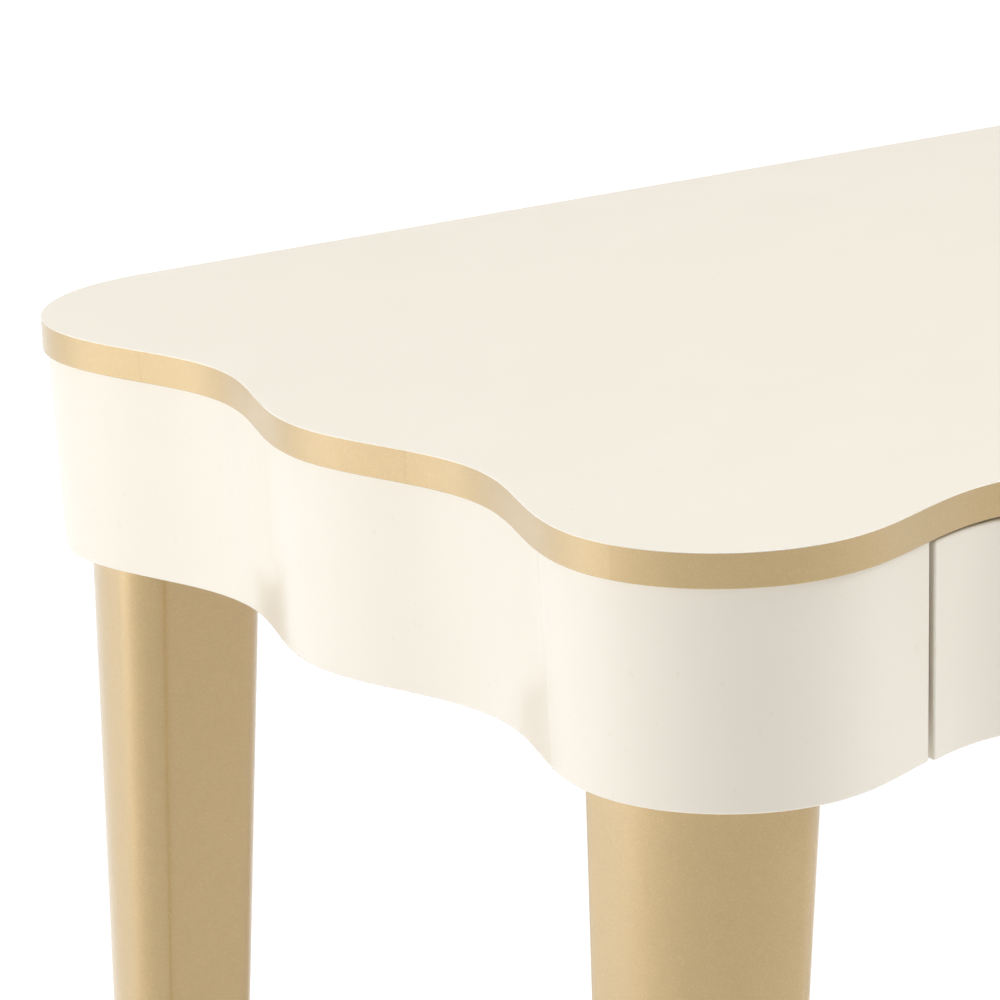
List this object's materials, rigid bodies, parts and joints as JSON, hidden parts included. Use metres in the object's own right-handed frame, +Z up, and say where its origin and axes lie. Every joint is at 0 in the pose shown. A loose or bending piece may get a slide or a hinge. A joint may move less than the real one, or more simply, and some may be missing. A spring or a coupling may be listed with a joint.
{
  "type": "dressing table",
  "caption": "Scalloped dressing table with a waved lacquered top and apron, a metallic edge band, drawers on full-extension runners and tapered, slightly splayed legs.",
  "frame": {"origin": "on the floor under the middle of the top's bounding box", "axes": "+X to the right end of the table, +Y to its straight back edge, +Z up"},
  "size_m": [1.2, 0.59, 0.76],
  "materials": {
    "lacquer_cream": "satin cream lacquer",
    "lacquer_champagne": "satin metallic champagne lacquer",
    "frame_wood": "bare hardwood",
    "frame_board": "bare plywood",
    "drawer_ply": "clear-lacquered plywood",
    "drawer_panel": "clear-lacquered plywood",
    "zinc_steel": "zinc-plated",
    "glide_nylon": "moulded nylon"
  },
  "bodies": {
    "table": {"top_panel": "lacquer_cream", "edge_band": "lacquer_champagne", "back_rail": "lacquer_cream", "apron_front_corner_left": "lacquer_cream", "apron_side_left": "lacquer_cream", "apron_back_corner_left": "lacquer_cream", "leg_front_left": "lacquer_champagne", "leg_back_left": "lacquer_champagne", "corner_block_front_left": "frame_wood", "corner_block_back_left": "frame_wood", "end_panel_left": "frame_board", "divider_left": "frame_board", "apron_front_corner_right": "lacquer_cream", "apron_side_right": "lacquer_cream", "apron_back_corner_right": "lacquer_cream", "leg_front_right": "lacquer_champagne", "leg_back_right": "lacquer_champagne", "corner_block_front_right": "frame_wood", "corner_block_back_right": "frame_wood", "end_panel_right": "frame_board", "divider_right": "frame_board", "low_rail_front": "frame_wood", "top_rail_front": "frame_wood", "low_rail_back": "frame_wood", "top_rail_back": "frame_wood", "leg_glides": "glide_nylon", "leg_bolts": "zinc_steel", "leg_nuts": "zinc_steel", "top_screws": "zinc_steel", "runner_case_left": "zinc_steel", "runner_case_middle": "zinc_steel", "runner_case_right": "zinc_steel"},
    "runner_left": {"runner_middle_left": "zinc_steel"},
    "drawer_left": {"drawer_front_left": "lacquer_cream", "drawer_inner_front_left": "drawer_ply", "drawer_side_left_left": "drawer_ply", "drawer_side_right_left": "drawer_ply", "drawer_back_left": "drawer_ply", "drawer_bottom_left": "drawer_panel", "drawer_screws_left": "zinc_steel", "runner_drawer_left": "zinc_steel"},
    "runner_middle": {"runner_middle_middle": "zinc_steel"},
    "drawer_middle": {"drawer_front_middle": "lacquer_cream", "drawer_inner_front_middle": "drawer_ply", "drawer_side_left_middle": "drawer_ply", "drawer_side_right_middle": "drawer_ply", "drawer_back_middle": "drawer_ply", "drawer_bottom_middle": "drawer_panel", "drawer_screws_middle": "zinc_steel", "runner_drawer_middle": "zinc_steel"},
    "runner_right": {"runner_middle_right": "zinc_steel"},
    "drawer_right": {"drawer_front_right": "lacquer_cream", "drawer_inner_front_right": "drawer_ply", "drawer_side_left_right": "drawer_ply", "drawer_side_right_right": "drawer_ply", "drawer_back_right": "drawer_ply", "drawer_bottom_right": "drawer_panel", "drawer_screws_right": "zinc_steel", "runner_drawer_right": "zinc_steel"}
  },
  "joints": [
    {"name": "drawer_left_slide", "type": "slide", "parent": "table", "child": "drawer_left", "axis": [0, -1, 0], "range_m": [0, 0.3]},
    {"name": "runner_left_slide", "type": "slide", "parent": "table", "child": "runner_left", "axis": [0, -1, 0], "range_m": [0, 0.15]},
    {"name": "drawer_middle_slide", "type": "slide", "parent": "table", "child": "drawer_middle", "axis": [0, -1, 0], "range_m": [0, 0.3]},
    {"name": "runner_middle_slide", "type": "slide", "parent": "table", "child": "runner_middle", "axis": [0, -1, 0], "range_m": [0, 0.15]},
    {"name": "drawer_right_slide", "type": "slide", "parent": "table", "child": "drawer_right", "axis": [0, -1, 0], "range_m": [0, 0.3]},
    {"name": "runner_right_slide", "type": "slide", "parent": "table", "child": "runner_right", "axis": [0, -1, 0], "range_m": [0, 0.15]}
  ],
  "couplings": [
    {"joint": "runner_left_slide", "follows": "drawer_left_slide", "ratio": 0.5},
    {"joint": "runner_middle_slide", "follows": "drawer_middle_slide", "ratio": 0.5},
    {"joint": "runner_right_slide", "follows": "drawer_right_slide", "ratio": 0.5}
  ]
}
